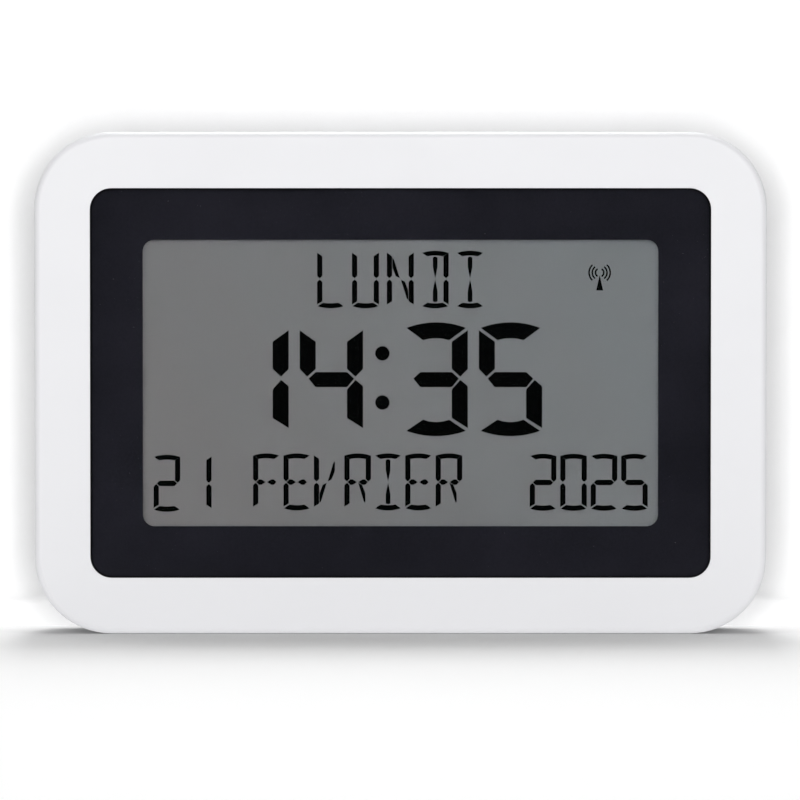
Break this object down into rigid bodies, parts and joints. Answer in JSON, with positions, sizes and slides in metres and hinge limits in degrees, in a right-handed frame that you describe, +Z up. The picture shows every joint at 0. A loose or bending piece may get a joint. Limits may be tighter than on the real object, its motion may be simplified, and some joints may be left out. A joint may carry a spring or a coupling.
{
  "type": "day clock with a large liquid-crystal display",
  "caption": "White clock with a rounded frame and a black-bordered window over a large liquid-crystal weekday, time and date; battery door, keys, keyhole and fold-out leg behind.",
  "frame": {"origin": "on the table, under the middle of the case", "axes": "+X to the right as the reader sees the clock, +Y from the reader towards the back, +Z up"},
  "size_m": [0.23, 0.028, 0.1575],
  "materials": {
    "case_white": "satin moulded ABS",
    "window_clear": "clear polished acrylic",
    "border_black": "black printed ink",
    "tape_white": "foam tape",
    "display_film": "polarizing film",
    "display_glass": "thin display glass",
    "seal_grey": "epoxy seal",
    "segment_black": "dark liquid crystal",
    "reflector_grey": "grey reflecting film",
    "frame_black": "black moulded ABS",
    "strip_rubber": "layered silicone rubber",
    "board_green": "green solder resist on fibreglass",
    "resin_black": "black resin",
    "can_metal": "drawn can",
    "sleeve_blue": "shrunk sleeve",
    "screw_steel": "zinc-plated",
    "key_grey": "satin moulded ABS",
    "switch_black": "moulded",
    "plunger_white": "moulded acetal",
    "ribbon_grey": "flat cable",
    "ferrite_dark": "ground ferrite",
    "coil_copper": "enamelled copper wire",
    "sounder_brass": "rolled",
    "cell_jacket": "printed jacket over a steel can",
    "contact_nickel": "nickel-plated spring steel",
    "wire_red": "soft insulation",
    "wire_black": "soft insulation"
  },
  "bodies": {
    "case": {"front_bezel": "case_white", "rear_cover": "case_white", "case_screws": "screw_steel", "display_lens": "window_clear", "lens_border_print": "border_black", "lens_tape": "tape_white", "lcd_front_polarizer": "display_film", "lcd_front_glass": "display_glass", "lcd_cell_seal": "seal_grey", "weekday_segments": "segment_black", "time_segments": "segment_black", "date_segments": "segment_black", "signal_segments": "segment_black", "lcd_rear_glass": "display_glass", "lcd_reflector": "reflector_grey", "lcd_frame": "frame_black", "lcd_frame_screws": "screw_steel", "contact_strip": "strip_rubber", "main_board": "board_green", "main_board_screws": "screw_steel", "controller_blob": "resin_black", "crystal": "can_metal", "capacitors": "sleeve_blue", "key_board": "board_green", "key_board_screws": "screw_steel", "key_ribbon": "ribbon_grey", "switch_bodies": "switch_black", "receiver_board": "board_green", "receiver_ribbon": "ribbon_grey", "ferrite_rod": "ferrite_dark", "aerial_coil": "coil_copper", "aerial_leads": "coil_copper", "sounder_disc": "sounder_brass", "sounder_leads": "wire_black", "upper_cell": "cell_jacket", "lower_cell": "cell_jacket", "bridge_contact": "contact_nickel", "bridge_spring": "contact_nickel", "negative_contact": "contact_nickel", "negative_spring": "contact_nickel", "positive_contact": "contact_nickel", "positive_lead": "wire_red", "negative_lead": "wire_black"},
    "door": {"battery_door": "case_white"},
    "leg": {"stand_leg": "case_white"},
    "set_button": {"set_key": "key_grey", "set_plunger": "plunger_white"},
    "up_button": {"up_key": "key_grey", "up_plunger": "plunger_white"},
    "down_button": {"down_key": "key_grey", "down_plunger": "plunger_white"},
    "language_button": {"language_key": "key_grey", "language_plunger": "plunger_white"},
    "alarm_button": {"alarm_key": "key_grey", "alarm_plunger": "plunger_white"},
    "signal_button": {"signal_key": "key_grey", "signal_plunger": "plunger_white"}
  },
  "joints": [
    {"name": "door_hinge", "type": "hinge", "parent": "case", "child": "door", "pos_m": [0.0635, 0.01385, 0.06218], "axis": [1, 0, 0], "range_deg": [0, 75]},
    {"name": "leg_hinge", "type": "hinge", "parent": "case", "child": "leg", "pos_m": [0, 0.0113, 0.092], "axis": [1, 0, 0], "range_deg": [0, 26]},
    {"name": "set_press", "type": "slide", "parent": "case", "child": "set_button", "axis": [0, -1, 0], "range_m": [0, 0.0005], "stiffness_N_per_m": 600},
    {"name": "up_press", "type": "slide", "parent": "case", "child": "up_button", "axis": [0, -1, 0], "range_m": [0, 0.0005], "stiffness_N_per_m": 600},
    {"name": "down_press", "type": "slide", "parent": "case", "child": "down_button", "axis": [0, -1, 0], "range_m": [0, 0.0005], "stiffness_N_per_m": 600},
    {"name": "language_press", "type": "slide", "parent": "case", "child": "language_button", "axis": [0, -1, 0], "range_m": [0, 0.0005], "stiffness_N_per_m": 600},
    {"name": "alarm_press", "type": "slide", "parent": "case", "child": "alarm_button", "axis": [0, -1, 0], "range_m": [0, 0.0005], "stiffness_N_per_m": 600},
    {"name": "signal_press", "type": "slide", "parent": "case", "child": "signal_button", "axis": [0, -1, 0], "range_m": [0, 0.0005], "stiffness_N_per_m": 600}
  ]
}
